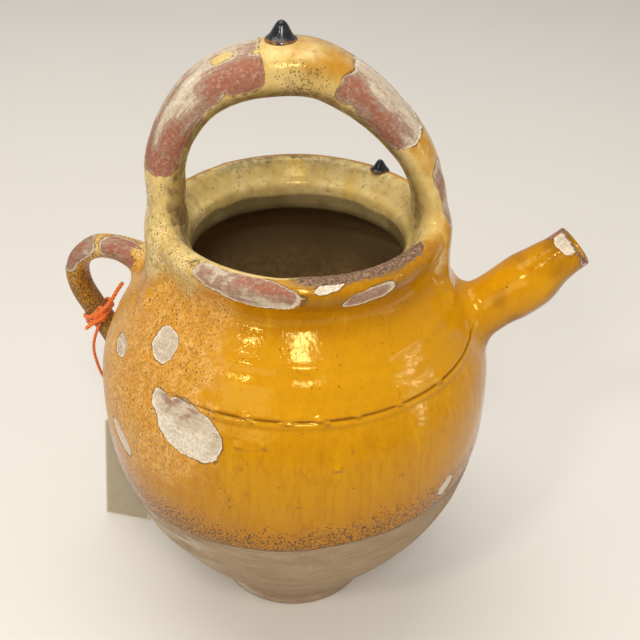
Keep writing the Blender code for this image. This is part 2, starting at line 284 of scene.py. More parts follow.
    # Chips: a thin crack line, a rim of white slip, then slip and red clay in smears
    ragged = g.plus(chip_edge, g.sway(g.noise(0.0034, 4, 0.6, seed=9), 1.7), g.sway(fine, 0.55))
    bare = g.step(ragged, -0.10, 0.10)
    slip = g.ramp(g.plus(g.times(fine, 0.6), g.times(mottle, 0.4)), 0.36, 0.62,
                  (0.425, 0.340, 0.252), (0.595, 0.505, 0.400))
    mauve = g.ramp(fine, 0.30, 0.70, (0.255, 0.135, 0.098), (0.375, 0.250, 0.190))
    clay = g.ramp(fine, 0.30, 0.70, (0.250, 0.082, 0.053), (0.350, 0.142, 0.098))
    dust = g.step(g.noise(0.0019, 4, 0.7, seed=20), 0.50, 0.66, 0.0, 0.55)
    streaks = g.noise(0.0052, 6, 0.70, seed=10, swirl=0.25)
    g.here = g.attribute("flow", "Vector")
    brushed, scratches = g.noise(0.0030, 5, 0.70, seed=16), g.noise(0.0011, 2, 0.5, seed=17)
    g.here = g.place
    smear = g.plus(clay_share, g.sway(streaks, 0.7), g.sway(brushed, 0.9), g.sway(fine, 0.35))
    smear = g.plus(smear, g.step(ragged, 1.1, 0.1, 0.0, g.blend(cream, -0.48, -0.18)))
    redness = g.step(smear, 0.28, 0.90)
    white = g.ramp(fine, 0.34, 0.60, (0.530, 0.445, 0.350), (0.730, 0.645, 0.535))
    exposed = g.ramp(smear, 0.14, -0.06, slip, white)
    exposed = g.ramp(smear, 0.27, 0.42, exposed, mauve)
    exposed = g.ramp(smear, 0.52, 0.66, exposed, clay)
    exposed = g.mix(g.times(dust, g.step(smear, 0.25, 0.40)), exposed, (0.440, 0.325, 0.255))
    exposed = g.coats(exposed, (grain, 0.58, 0.74, 0.45, (0.200, 0.115, 0.075)))
    scratched = g.times(g.step(scratches, 0.62, 0.72), g.step(smear, 0.0, 0.3), 0.45)
    exposed = g.mix(scratched, exposed, (0.160, 0.100, 0.075))
    crack = g.times(g.step(ragged, -0.85, -0.25), g.less(bare), g.step(mottle, 0.36, 0.56))
    color = g.mix(g.times(crack, 0.75), color, (0.080, 0.040, 0.018))
    color = g.mix(bare, color, exposed)

    # Worn rim where the glaze has rubbed through to grey-brown clay
    rubbed = g.step(g.plus(worn, g.sway(streaks, 0.9), -0.80), 0.0, 0.08)
    bare_rim = g.ramp(fine, 0.4, 0.68, (0.110, 0.060, 0.040), (0.320, 0.200, 0.138))
    color = g.mix(rubbed, color, bare_rim)

    shiny = g.plus(g.times(weathered, 0.22), g.times(creamy, 0.08), g.times(mottle, 0.10), 0.055,
                   g.times(grime_and_shade, 0.2))
    dull = g.most(bare, rubbed, g.less(glazed), inside)
    rough = g.blend(dull, shiny, g.step(fine, 0.2, 0.8, 0.72, 0.92))

    # Height in metres
    height = g.plus(
        g.sway(cloudy, 0.00060),
        g.sway(mottle, g.blend(weathered, 0.00010, 0.00030)),
        g.times(fine, g.blend(weathered, 0.000010, 0.00009)),
        g.times(pin, -0.00020), g.times(glazed, 0.00030),
        g.times(dull, fine, 0.00016), g.times(dull, grain, 0.00007),
        g.times(g.less(glazed), throwing, 0.00035),
        g.times(bare, -0.00042), g.times(crack, 0.00008), g.times(rubbed, -0.0003),
        g.times(redness, bare, -0.00022), g.times(crazed, -0.00006),
        g.times(g.sway(runs, g.less(dull)), 0.00006))
    g.shader.inputs["IOR"].default_value = 1.46
    g.shader.inputs["Specular Tint"].default_value = (1.0, 0.84, 0.34, 1.0)
    return g.finish(color, rough, height)


def black_slip():
    """Glossy near-black glaze on the knobs, with brown showing where it has thinned."""
    g = Graph("black_slip")
    cloud, fine = g.noise(0.004, 4, 0.6), g.noise(0.0009, 3, 0.6, seed=1)
    low = g.step(g.attribute("cream"), 0.4, 1.0)
    color = g.ramp(cloud, 0.4, 0.7, (0.008, 0.009, 0.012), (0.022, 0.024, 0.030))
    color = g.mix(g.times(low, g.step(cloud, 0.35, 0.6)), color, (0.30, 0.13, 0.03))
    rough = g.step(fine, 0.3, 0.8, 0.07, 0.26)
    height = g.plus(g.times(cloud, 0.0004), g.times(fine, 0.00004))
    return g.finish(color, rough, height)


def orange_twine():
    """Bright twisted cotton: fibres along the plies, and painted shade in the grooves."""
    g = Graph("orange_twine")
    fibre = g.noise(0.0005, 4, 0.7, stretch=(1, 1, 2.5))
    patch = g.noise(0.006, 3, seed=2)
    color = g.ramp(fibre, 0.3, 0.7, (0.68, 0.105, 0.004), (0.90, 0.205, 0.012))
    # Painted shade in the grooves between the plies
    color = g.coats(color, (patch, 0.5, 0.8, 0.4, (0.92, 0.24, 0.030)),
                    (g.attribute("groove"), 0.45, 1.0, 0.75, (0.30, 0.025, 0.003)))
    height = g.times(fibre, 0.00012)
    g.shader.inputs["Sheen Weight"].default_value = 0.3
    return g.finish(color, g.step(fibre, 0.3, 0.8, 0.75, 0.95), height)


def card_stock():
    """Greyish buff card with faint fibres, its face partly darkened as painted shade, and a paler
    edge as a painted highlight.
    """
    g = Graph("card_stock")
    fibres = g.noise(0.0010, 5, 0.7, stretch=(1, 1, 0.35), swirl=0.8)
    cloud, grain = g.noise(0.018, 3, seed=2), g.noise(0.0004, 3, 0.6, seed=3)
    color = g.ramp(fibres, 0.35, 0.70, (0.34, 0.285, 0.20), (0.42, 0.36, 0.26))
    color = g.coats(color, (cloud, 0.45, 0.75, 0.5, (0.30, 0.24, 0.16)))
    # Painted highlight: a paler band along the card's edges
    color = g.mix(g.times(g.attribute("edge"), 0.8), color, (0.78, 0.71, 0.57))
    height = g.plus(g.times(fibres, 0.00004), g.times(grain, 0.00002))
    return g.finish(color, g.step(grain, 0.3, 0.8, 0.78, 0.92), height)


def studio_floor():
    """Plain pale matt floor."""
    g = Graph("studio_floor")
    cloud = g.noise(0.25, 3)
    color = g.mix(cloud, (0.69, 0.66, 0.62), (0.71, 0.68, 0.64))
    return g.finish(color, g.step(cloud, 0.0, 1.0, 0.55, 0.7), 0.0)


# ---- Lines, noise and distance fields -------------------------------------------------------
def smooth_line(points, steps):
    """Catmull-Rom curve through the points, of any dimension, with this many steps a span."""
    rows = np.asarray(points, float)
    ends = np.vstack([2 * rows[0] - rows[1], rows, 2 * rows[-1] - rows[-2]])
    t = (np.arange(steps) / steps)[:, None]
    spans = [0.5 * (2 * b + (c - a) * t + (2 * a - 5 * b + 4 * c - d) * t ** 2
                    + (3 * b - a - 3 * c + d) * t ** 3)
             for a, b, c, d in zip(ends, ends[1:], ends[2:], ends[3:])]
    return np.vstack(spans + [rows[-1:]])


def arc_of(line, axes):
    """Length along the line to each of its points, from its first axes columns."""
    steps = np.linalg.norm(np.diff(line[:, :axes], axis=0), axis=1)
    return np.concatenate([[0.0], np.cumsum(steps)])


def along_line(line, arc, places):
    """The line's columns at these lengths along it."""
    return np.stack([np.interp(places, arc, column) for column in line.T], axis=-1)


def bumps(points, size, seed=0):
    """Smooth noise from -1 to 1 at the points, one bump every size metres."""
    q = points / size + seed * 7.31
    cell = np.floor(q).astype(np.int64)
    f = q - cell
    f = f * f * (3 - 2 * f)
    total = np.zeros(points.shape[:-1])
    for corner in product((0, 1), repeat=3):
        c = cell + np.array(corner)
        mixed = (c[..., 0] * 73856093) ^ (c[..., 1] * 19349663) ^ (c[..., 2] * 83492791)
        mixed = (mixed ^ (mixed >> 13)) * 1274126177
        value = ((mixed ^ (mixed >> 16)) & 0xFFFF) / 32767.5 - 1.0
        weight = np.prod(np.where(np.array(corner) == 1, f, 1 - f), axis=-1)
        total += value * weight
    return total


def ease(value, low, high):
    """Smooth step from 0 at low to 1 at high."""
    t = np.clip((value - low) / (high - low), 0.0, 1.0)
    return t * t * (3 - 2 * t)


def fade(value, low, high):
    """Smooth step from 1 at low to 0 at high."""
    return 1 - ease(value, low, high)


def hump(value, middle, half):
    """Bell curve that is 1 at middle and has died out about 2 halves away."""
    return np.exp(-((value - middle) / half) ** 2)


def degrees_from(angle, middle):
    """How many degrees each angle is from the middle one, either way round."""
    return np.abs((angle - middle + 180) % 360 - 180)


def polar(radius, angle, height):
    """Points of a grid from their radius, their angle in radians and their height."""
    columns = np.broadcast_arrays(radius * np.cos(angle), radius * np.sin(angle), height)
    return np.stack(columns, axis=-1)


def unit(vectors):
    return vectors / np.maximum(np.linalg.norm(vectors, axis=-1, keepdims=True), 1e-12)


def soft_min(a, b, reach):
    """The smaller of two distances, rounded off where they are within reach of each other."""
    h = np.clip(reach - np.abs(a - b), 0.0, None) / reach
    return np.minimum(a, b) - h * h * reach / 4


def in_chunks(measure, points, size=20000):
    return np.concatenate([measure(points[i:i + size]) for i in range(0, len(points), size)])


# ---- The jug's section ----------------------------------------------------------------------
OUTSIDE = [(0.0672, 0.2472), (0.0712, 0.2462), (0.0738, 0.2425), (0.0730, 0.2370),
           (0.0700, 0.2310), (0.0690, 0.2240), (0.0745, 0.2175), (0.0830, 0.2085),
           (0.0910, 0.1970), (0.0955, 0.1890), (0.1046, 0.1680), (0.1070, 0.1420),
           (0.1052, 0.1150), (0.0990, 0.0890), (0.0868, 0.0650), (0.0703, 0.0400),
           (0.0570, 0.0195), (0.0505, 0.0120), (0.0485, 0.0075), (0.0485, 0.0025),
           (0.0475, 0.0000)]
WALL = 0.006
INSIDE = [(0.0672, 0.2472), (0.0640, 0.2462), (0.0615, 0.2430), (0.0585, 0.2385),
          (0.0553, 0.2340), (0.0553, 0.2240), (0.0560, 0.2205), (0.0620, 0.2160),
          (0.0740, 0.2070), (0.0840, 0.1960),
          *((round(radius - WALL, 4), height) for radius, height in OUTSIDE[9:16]),
          (0.0460, 0.0185), (0.0300, 0.0105), (0.0020, 0.0090)]
COLLAR_HEIGHT, SEAM_HEIGHT, BASE_THICKNESS = 0.2240, 0.1890, 0.009

OUTER, INNER = smooth_line(OUTSIDE, 12), smooth_line(INSIDE, 12)
OUTER[:, 1] = np.maximum(OUTER[:, 1], 0.0)
OUTER_ARC = arc_of(OUTER, 2)
INNER_ARC = arc_of(INNER, 2)


def arc_at_height(line, arc, height):
    """Length along the line where it comes down to this height."""
    return float(np.interp(-height, -line[:, 1], arc))


def section_distance(points):
    """Distance from the jug's clay wall, positive outside the clay."""
    place = np.stack([np.hypot(points[:, 0], points[:, 1]), points[:, 2]], axis=-1)
    a = np.vstack([OUTER[::4], [[0.0, 0.0]], [[0.0, BASE_THICKNESS]], INNER[::-4]])
    b = np.roll(a, -1, axis=0)

    def measure(p):
        ab = (b - a)[None]
        ap = p[:, None] - a[None]
        t = np.clip((ap * ab).sum(-1) / np.maximum((ab * ab).sum(-1), 1e-14), 0, 1)
        gap = np.linalg.norm(ap - ab * t[..., None], axis=-1).min(axis=1)
        crosses = (a[None, :, 1] > p[:, None, 1]) != (b[None, :, 1] > p[:, None, 1])
        rise = np.where(ab[..., 1] == 0, 1e-12, ab[..., 1])
        meet = a[None, :, 0] + ab[..., 0] * (p[:, None, 1] - a[None, :, 1]) / rise
        within = (crosses & (p[:, None, 0] < meet)).sum(axis=1) % 2 == 1
        return np.where(within, -gap, gap)
    return in_chunks(measure, place)


class Sweep:
    """Strap or tube along a flat path: rows of x, y, z, half-thickness and half-width."""

    def __init__(self, path, turn, power):
        rows = [(r * cos(turn), r * sin(turn), z, thick, wide) for r, z, thick, wide in path]
        line = smooth_line(rows, 14)
        self.across = np.array((-sin(turn), cos(turn), 0.0))
        self.power, self.line, self.arc = power, line, arc_of(line, 3)
        self.length = self.arc[-1]
        self.tangent = unit(np.gradient(line[:, :3], axis=0))
        self.outward = unit(np.cross(self.tangent, self.across))

    def distance(self, points):
        """Distance from the sweep's skin, positive outside."""
        n = self.power

        def measure(p):
            gap = ((p[:, None] - self.line[None, :, :3]) ** 2).sum(-1)
            i = gap.argmin(axis=1)
            off = p - self.line[i, :3]
            thick, wide = self.line[i, 3], self.line[i, 4]
            x = np.abs((off * self.outward[i]).sum(-1)) / thick
            y = np.abs(off @ self.across) / wide
            k = np.maximum((x ** n + y ** n) ** (1 / n), 1e-6)
            slope = k ** (1 - n) * np.hypot(x ** (n - 1) / thick, y ** (n - 1) / wide)
            side = np.where(k < 0.2, -0.8 * thick, (k - 1) / np.maximum(slope, 1e-6))
            beyond = np.abs((off * self.tangent[i]).sum(-1))
            past_end = ((i == 0) | (i == len(self.line) - 1)) & (beyond > 0.001)
            return np.where(past_end, np.hypot(np.maximum(side, 0), beyond), side)
        return in_chunks(measure, points, 8000)

    def ring(self, place, sides):
        """Points round the sweep at this length along it; side 0 is the outward one."""
        row = along_line(self.line, self.arc, place)
        out = unit(along_line(self.outward, self.arc, place))
        angle = 2 * pi * np.arange(sides) / sides
        c, s = np.cos(angle), np.sin(angle)
        k = (np.abs(c) ** self.power + np.abs(s) ** self.power) ** (-1 / self.power)
        return row[:3] + (c * k)[:, None] * out * row[3] + (s * k)[:, None] * self.across * row[4]

    def skin(self, spacing, sides):
        """Grid of points over the sweep, each row's length along it, and each side's angle."""
        places = np.linspace(0, self.length, int(self.length / spacing) + 1)
        grid = np.stack([self.ring(place, sides) for place in places])
        angle = (np.degrees(2 * pi * np.arange(sides) / sides) + 180) % 360 - 180
        return grid, places, angle

    def half_size(self, places):
        row = along_line(self.line, self.arc, places)
        return (row[..., 3] + row[..., 4]) / 2


BAIL_TURN, SIDE_TURN = radians(5), radians(163)     # the handles' planes, turned from the spout's
STRAP_POWER = 2.2                                   # a strap's section, where 2 would be an oval
BAIL = Sweep([
    (0.0748, 0.2108, 0.0032, 0.0215), (0.0735, 0.2145, 0.0052, 0.0235),
    (0.0712, 0.2215, 0.0075, 0.0248), (0.0696, 0.2300, 0.0084, 0.0246),
    (0.0688, 0.2400, 0.0084, 0.0222), (0.0665, 0.2520, 0.0086, 0.0190),
    (0.0622, 0.2670, 0.0090, 0.0185), (0.0545, 0.2820, 0.0098, 0.0185),
    (0.0420, 0.2970, 0.0108, 0.0188), (0.0260, 0.3105, 0.0116, 0.0190),
    (0.0080, 0.3195, 0.0120, 0.0190), (-0.0120, 0.3210, 0.0120, 0.0190),
    (-0.0310, 0.3175, 0.0116, 0.0190), (-0.0470, 0.3080, 0.0108, 0.0188),
    (-0.0588, 0.2925, 0.0102, 0.0186), (-0.0644, 0.2750, 0.0098, 0.0185),
    (-0.0652, 0.2580, 0.0092, 0.0192), (-0.0675, 0.2420, 0.0088, 0.0220),
    (-0.0693, 0.2300, 0.0084, 0.0246), (-0.0712, 0.2215, 0.0075, 0.0248),
    (-0.0735, 0.2145, 0.0052, 0.0235), (-0.0748, 0.2108, 0.0032, 0.0215)],
    BAIL_TURN, STRAP_POWER)
SIDE = Sweep([
    (0.0850, 0.1975, 0.0030, 0.0110), (0.0885, 0.1998, 0.0058, 0.0110),
    (0.0930, 0.2018, 0.0070, 0.0100), (0.1050, 0.2047, 0.0064, 0.0082),
    (0.1180, 0.2035, 0.0062, 0.0078), (0.1288, 0.1965, 0.0061, 0.0078),
    (0.1338, 0.1860, 0.0061, 0.0078), (0.1325, 0.1745, 0.0061, 0.0078),
    (0.1265, 0.1632, 0.0060, 0.0078), (0.1195, 0.1522, 0.0062, 0.0078),
    (0.1105, 0.1400, 0.0075, 0.0090), (0.1065, 0.1352, 0.0066, 0.0105),
    (0.1035, 0.1315, 0.0040, 0.0100)], SIDE_TURN, STRAP_POWER)
SPOUT = Sweep([
    (0.0925, 0.1850, 0.0162, 0.0162), (0.0975, 0.1895, 0.0158, 0.0158),
    (0.1065, 0.1970, 0.0153, 0.0153), (0.1155, 0.2040, 0.0160, 0.0162),
    (0.1232, 0.2114, 0.0157, 0.0160), (0.1303, 0.2192, 0.0132, 0.0136),
    (0.1366, 0.2252, 0.0116, 0.0119), (0.1425, 0.2310, 0.0114, 0.0114)], 0.0, 2.0)
SPOUT_BORE = (0.0068, 0.0068 + 0.0020)              # the hole's radius at the root and at the tip
BLEND_REACH, BLEND_CAP = 0.009, 0.0035     # how far off a neighbour tells, and how much it adds


def blend_move(points, normals, own, others):
    """How far each point goes along its normal so that own's skin flows into the others."""
    shape = points.shape[:-1]
    p, n = points.reshape(-1, 3), normals.reshape(-1, 3)
    move = np.zeros(len(p))
    for other in others:
        near = other(p) < BLEND_REACH
        if not near.any():
            continue
        q, d, m = p[near], n[near], np.zeros(near.sum())
        for _ in range(7):
            at = q + d * m[:, None]
            field = soft_min(own(at), other(at), BLEND_REACH)
            m = np.clip(m - 0.9 * field, 0.0, BLEND_CAP)
        move[near] = np.maximum(move[near], m)
    return move.reshape(shape)


# ---- Skins ----------------------------------------------------------------------------------
def grid_normals(grid, ring):
    """Normals of a grid whose columns close up, and whose rows do too if ring is true."""
    around = np.roll(grid, -1, axis=1) - np.roll(grid, 1, axis=1)
    if ring:
        down = np.roll(grid, -1, axis=0) - np.roll(grid, 1, axis=0)
    else:
        down = np.gradient(grid, axis=0)
    return unit(np.cross(around, down))


def grid_faces(rows, columns, ring):
    """Quads of a grid whose columns close up, and whose rows do too if ring is true."""
    index = np.arange(rows * columns).reshape(rows, columns)
    first, following = (index, np.roll(index, -1, axis=0)) if ring else (index[:-1], index[1:])
    corners = [first, np.roll(first, -1, axis=1), np.roll(following, -1, axis=1), following]
    return index, np.stack(corners, axis=-1).reshape(-1, 4).tolist()


def solid_mesh(name, points, faces):
    """Mesh of the points, with its faces turned outwards."""
    mesh = bpy.data.meshes.new(name)
    mesh.from_pydata(points.tolist(), [], faces)
    mesh.calc_loop_triangles()
    triangles = np.zeros(len(mesh.loop_triangles) * 3, np.int32)
    mesh.loop_triangles.foreach_get("vertices", triangles)
    a, b, c = points[triangles.reshape(-1, 3)].transpose(1, 0, 2)
    if (a * np.cross(b, c)).sum() < 0:
        mesh.flip_normals()
    return mesh


def skin_object(name, grid, ring, painted, material, node, body="jug", flow=None):
    """Closed mesh of a grid of points, with its painted values, standing for a CAD node.

    Flow gives each point a place in a space squeezed along the direction that smears run in.
    """
    rows, columns = grid.shape[:2]
    index, faces = grid_faces(rows, columns, ring)
    points = grid.reshape(-1, 3)
    values = {key: np.broadcast_to(value, (rows, columns)).reshape(-1)
              for key, value in painted.items()}
    if not ring:
        for row, flip in ((index[0], True), (index[-1], False)):
            centre = len(points)
            points = np.vstack([points, points[row].mean(axis=0)])
            values = {key: np.append(value, value[row].mean()) for key, value in values.items()}
            pairs = zip(row, np.roll(row, -1))
            faces += [[int(b), int(a), centre] if flip else [int(a), int(b), centre]
                      for a, b in pairs]
    mesh = solid_mesh(name, points, faces)
    for key, value in values.items():
        layer = mesh.attributes.new(key, "FLOAT", "POINT")
        layer.data.foreach_set("value", value.astype(np.float32))
    if flow is not None:
        lines = np.vstack([flow.reshape(-1, 3), np.zeros((len(points) - rows * columns, 3))])
        layer = mesh.attributes.new("flow", "FLOAT_VECTOR", "POINT")
        layer.data.foreach_set("vector", lines.astype(np.float32).ravel())
    mesh.shade_smooth()
    mesh.set_sharp_from_angle(angle=radians(55))
    mesh.materials.append(material)
    obj = add_object(name, mesh)
    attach(obj, body)
    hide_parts(node)
    return obj


# ---- Chips and wear -------------------------------------------------------------------------
# A chip is angle (degrees), length along the skin, half-size round, half-size along (mm), turn
# (degrees) and how much red clay shows, 0 to 1.  Where they aren't nought, how much more of it
# shows to one side of the middle follows, first round and then along.
CHIPS = {
    "jug": [(-136, 54, 8.4, 8.2, 0, 0.10), (-157, 73.5, 7.4, 5.0, 0, 0.16),
            (-119, 86, 20.5, 12.5, 16, 0.04, 0.10, -0.34),
            (-127, 81, 12, 6.8, 22, 0.24, 0.0, -0.2),
            (-145, 117, 10.5, 4.6, 26, -0.3), (-42, 135, 5.8, 4.2, -38, -0.3),
            (-108, 8.0, 27, 8.2, 7, 0.46, 0.0, -0.06), (-62, 12, 13.5, 4.4, -9, 0.44, 0.0, -0.1),
            (-78, 4.6, 6.5, 2.6, -14, -0.2), (66, -17, 4.0, 2.0, 0, 0.30),
            (152, -13, 3.0, 1.6, 10, 0.30), (112, -16, 2.4, 1.3, 0, 0.30),
            (140, 6, 16, 4.5, 0, 0.45, 0.0, 0.1), (35, 12, 9, 4.0, 12, 0.25, 0.0, 0.1)],
    "bail": [(-165, 178, 17.5, 16.5, 0, 0.36, 0.26, -0.10), (-108, 170, 9.5, 9.0, 0, 0.55),
             (-140, 202, 19.0, 24.0, 0, 0.40, 0.16, 0.10),
             (-118, 218, 15.5, 14.5, 0, 0.62, 0.15, 0.15), (165, 190, 10, 16, 0, 0.3),
             (-122, 104, 17.0, 22.5, 16, 0.42, 0.22), (-104, 121, 9.0, 7.0, 0, 0.45, 0.1),
             (-172, 105, 9.0, 19.0, 0, 0.22), (-150, 50, 8.5, 17.0, -10, 0.30, 0.1),
             (120, 92, 7.0, 12.0, 20, 0.3), (70, 240, 6.0, 9.0, 0, 0.3)],
    "side": [(42, 46, 8.6, 13.0, 0, 0.52, 0.0, 0.1), (58, 19, 9.2, 11.0, 0, 0.56, 0.0, -0.2),
             (-60, 70, 5.0, 8.0, 10, 0.3)],
    "spout": [(-40, 66.3, 7.0, 4.2, -12, -0.05), (14, 65.5, 3.0, 4.6, 0, 0.9),
              (-118, 68.0, 3.4, 1.8, 0, 0.7), (110, 67.5, 3.4, 2.0, 0, 0.5)],
}
# Flakes of glaze left standing inside a chip, in the same terms.
FLAKES = {"jug": [], "bail": [(-160, 176, 3.6, 5.0, 0), (-150, 163, 1.6, 2.0, 0)],
          "side": [(38, 9.5, 3.6, 3.2, 0)], "spout": []}
# Smears inside the chips: the same places and sizes, then how much more clay they show.
STAINS = {"jug": [(-104, 5.5, 17, 2.4, 7, 0.18), (-118, 2.5, 9, 1.6, 7, -0.30),
                  (-95, 14.6, 14, 2.0, 7, -0.36), (-128, 74, 9, 3.0, 24, 0.30),
                  (-106, 84, 4.0, 6.0, -20, 0.22)],
          "bail": [(-114, 169, 8.0, 8.5, 0, 0.55), (-165, 180, 8.0, 14.0, 0, -0.06),
                   (-122, 186, 5.0, 8.0, 20, 0.16), (-144, 196, 3.0, 16.0, -14, -0.26),
                   (-112, 200, 3.0, 9.0, 0, -0.26), (-160, 212, 5.0, 14.0, 0, 0.20),
                   (-136, 219, 2.6, 12.0, -10, -0.34), (-108, 222, 3.0, 8.0, 10, -0.22),
                   (-126, 226, 7.0, 5.0, 0, 0.36), (-110, 209, 4.0, 8.0, 0, 0.30),
                   (-92, 103, 4.5, 24.0, 14, 0.32), (-122, 94, 6.0, 7.0, 0, 0.12),
                   (-120, 122, 6.0, 6.0, 0, 0.20), (-150, 108, 7.0, 18.0, 10, -0.08)],
          "side": [(45, 46, 5.0, 9.0, 0, 0.10), (60, 21, 5.0, 8.0, 0, 0.12)], "spout": []}
# How square the chips' outlines are, where 2 would be an oval.
BOXY = {"jug": 2.2, "bail": 3.4, "side": 3.0, "spout": 2.5}
CHIP_DROP, JUG_CHIP_DROP = 0.5, 0.45    # mm from the glaze down to the chipped clay
GLAZE_STEP = 0.22                       # mm from the glaze down to the bare foot
NO_CHIP, ALL_GLAZED = -20.0, 20.0       # mm inside a chip, or above the glaze's edge


def patch_depth(patch, angle, along, radius, power=2.2):
    """Distance in mm inside one patch's outline, and how far across and along it, -1 to 1."""
    turn, place, half_round, half_along, twist = patch[:5]
    x = np.radians((angle - turn + 180) % 360 - 180) * radius / MM
    y = along / MM - place
    c, s = cos(radians(twist)), sin(radians(twist))
    u, v = (x * c + y * s) / half_round, (y * c - x * s) / half_along
    size = (np.abs(u) ** power + np.abs(v) ** power) ** (1 / power)
    return (1 - size) * min(half_round, half_along), u, v


def chip_depth(kind, angle, along, radius, points):
    """Distance inside the nearest chip's outline and its share of clay, both over the grid."""
    depth, share = np.full(points.shape[:2], NO_CHIP), np.zeros(points.shape[:2])
    ragged = bumps(points, 0.0085, 3) * 1.1 + bumps(points, 0.0036, 5) * 0.8
    x = np.radians((angle + 180) % 360) * radius
    brushed = bumps(np.stack([x, along * 0.22, 0 * along], axis=-1), 0.0034, 2) * 0.16
    for chip in CHIPS[kind]:
        inside, u, v = patch_depth(chip, angle, along, radius, BOXY[kind])
        inside = inside + ragged * min(1.0, 0.15 + min(chip[2:4]) / 12)
        clay, by_round, by_along = (*chip[5:], 0.0, 0.0)[:3]
        share = np.where(inside > depth, clay + by_round * u + by_along * v, share)
        depth = np.maximum(depth, inside)
    for flake in FLAKES[kind]:
        inside = patch_depth(flake, angle, along, radius)[0]
        depth = np.minimum(depth, -inside - 0.3 * ragged)
    for stain in STAINS[kind]:
        u, v = patch_depth(stain, angle, along, radius)[1:]
        share = share + stain[5] * np.exp(-(u ** 2 + v ** 2))
    return depth, share + brushed + bumps(points, 0.011, 8) * 0.16


def glaze_height(points):
    """Height of the glaze's lower edge, which the dipping left tilted."""
    wave = bumps(points * (1, 1, 0), 0.03, 9) * 0.0015
    return 0.113 + 0.081 * points[..., 0] + wave


def seam_height(azimuth):
    """Height of the scored join; it climbs towards the spout's root."""
    near_spout = np.exp(-(azimuth / 22.0) ** 2)
    return SEAM_HEIGHT + 0.0006 * np.cos(np.radians(azimuth)) + 0.0030 * near_spout


# Takes back what the relief and the warp add, so that nothing stands outside the CAD's box: this
# share of the radius at the belly, and this much out at the handle and the spout.
BELLY_SHRINK, ARM_SHRINK = 0.0042, 0.0015


def hand_warp(points):
    """The points moved by the slow unevenness of hand-made clay, which dies out at the base."""
    shift = np.stack([bumps(points, 0.048, k) * 0.42 + bumps(points, 0.022, k + 3) * 0.16
                      for k in (11, 12, 13)], axis=-1)
    points = points + shift * MM * ease(points[..., 2], 0.004, 0.030)[..., None]
    out = ease(np.hypot(points[..., 0], points[..., 1]), 0.108, 0.122)
    shrink = 1 - BELLY_SHRINK - (ARM_SHRINK - BELLY_SHRINK) * out
    return points * np.stack([shrink, shrink, np.ones_like(shrink)], axis=-1)


def finish_skin(grid, ring, own, others, inset, detail, blended=None):
    """Blend a grid's first rows into its neighbours, warp it all, then press the detail in."""
    first = slice(blended)
    normals = outward_normals(grid, ring)[first]
    move = blend_move(grid[first], normals, own, others)
    move = move - inset * ease(move, 0.0, 0.001)
    grid = grid.copy()
    grid[first] += normals * move[..., None]
    grid = hand_warp(grid)
    return grid + outward_normals(grid, ring) * detail[..., None] * MM


def outward_normals(grid, ring):
    """The grid's normals, turned to point out of the closed body."""
    area = np.cross(np.roll(grid, -1, axis=1) - grid, np.roll(grid, -1, axis=0) - grid)
    if not ring:
        area = area[:-1]
    volume = (area * grid[:len(area)]).sum()
    normals = grid_normals(grid, ring)
    return normals if volume > 0 else -normals


# ---- Turned skins ---------------------------------------------------------------------------
COLUMNS = 440
AZIMUTH = np.linspace(-180, 180, COLUMNS, endpoint=False)
# Burrs of clay along the seam: angle, mm below it, half-width in mm and how high they stand.
BURRS = [(-112, -0.9, 1.9, 0.40), (-103, -0.8, 2.4, 0.60), (-101, 0.6, 1.3, 0.40),
         (-91, 0.1, 2.8, 0.30), (-82, -0.6, 2.1, 0.60), (-80, 0.4, 1.3, 0.40),
         (-71, -0.5, 1.6, 0.45), (-58, -0.3, 1.6, 0.40), (-42, -0.3, 2.0, 0.35),
         (-78, 21.5, 2.0, 0.70), (-97, 11.0, 1.5, 0.30), (-104, 12.5, 2.4, 0.22),
         (-101, 36.0, 1.2, 0.25), (-88, 41.0, 1.0, 0.20), (-60, 33.0, 1.3, 0.22)]
BURR_RISE = 2.6
BLISTER = (-102.5, 22.5)            # a small ring in the glaze: angle, and mm below the seam
# Rings that a finger left below the collar: height, relief in mm and half-width.
NECK_RINGS = [(0.2095, 0.34, 0.0013), (0.2060, -0.22, 0.0014),
              (0.2020, 0.20, 0.0013), (0.1960, -0.12, 0.0016)]


def turned_points(arcs, line, arc):
    """Points at these lengths along a profile, one row each, with a column for each azimuth."""
    place = along_line(line, arc, arcs)
    return polar(place[..., 0], np.radians(AZIMUTH)[None, :], place[..., 1])


def seam_detail(points, azimuth, pool):
    """Relief in mm of the scored join and its burrs, and the pooled glaze and painted shade with
    theirs added.
    """
    radius = np.hypot(points[..., 0], points[..., 1])
    from_seam = (seam_height(azimuth) - points[..., 2]) / MM
    crisp = 0.25 + 0.75 * ease(azimuth, -128, -106)
    crisp = crisp * (0.85 + 0.25 * bumps(points * (1, 1, 0), 0.017, 5))
    cut = (-0.42 * crisp * fade(np.abs(from_seam), 0.1, 1.1)
           + 0.50 * crisp * hump(from_seam, 1.7, 0.70)
           - 0.16 * crisp * hump(from_seam, 3.6, 0.55)
           + 0.24 * crisp * hump(from_seam, -1.6, 0.60))
    # Dark line in the groove and a fainter one below the ridge: pooled glaze, partly painted shade
    pool = crisp * np.maximum(0.54 * fade(np.abs(from_seam - 0.1), 0.2, 1.1),
                              0.40 * hump(from_seam, 3.6, 0.6)) + pool
    for turn, below, size, height in BURRS:
        x = np.radians(azimuth - turn) * radius / MM
        burr = np.exp(-(x / size) ** 2 - ((from_seam - below) / (size * 0.5)) ** 2)
        # Painted shadow beside and below each burr; the burr itself is cleared of it
        shade = np.exp(-((x - 0.3) / size) ** 2 - ((from_seam - below - 1.2) / 0.6) ** 2)
        cut = cut + BURR_RISE * height * burr
        pool = np.maximum(pool * (1 - 0.8 * burr), 0.8 * shade)
    turn, below = BLISTER
    ring = np.hypot(np.radians(azimuth - turn) * radius / MM, from_seam - below)
    cut = cut + 0.35 * hump(ring, 1.5, 0.6)
    return cut, np.maximum(pool, 0.7 * hump(ring, 0.4, 0.8))


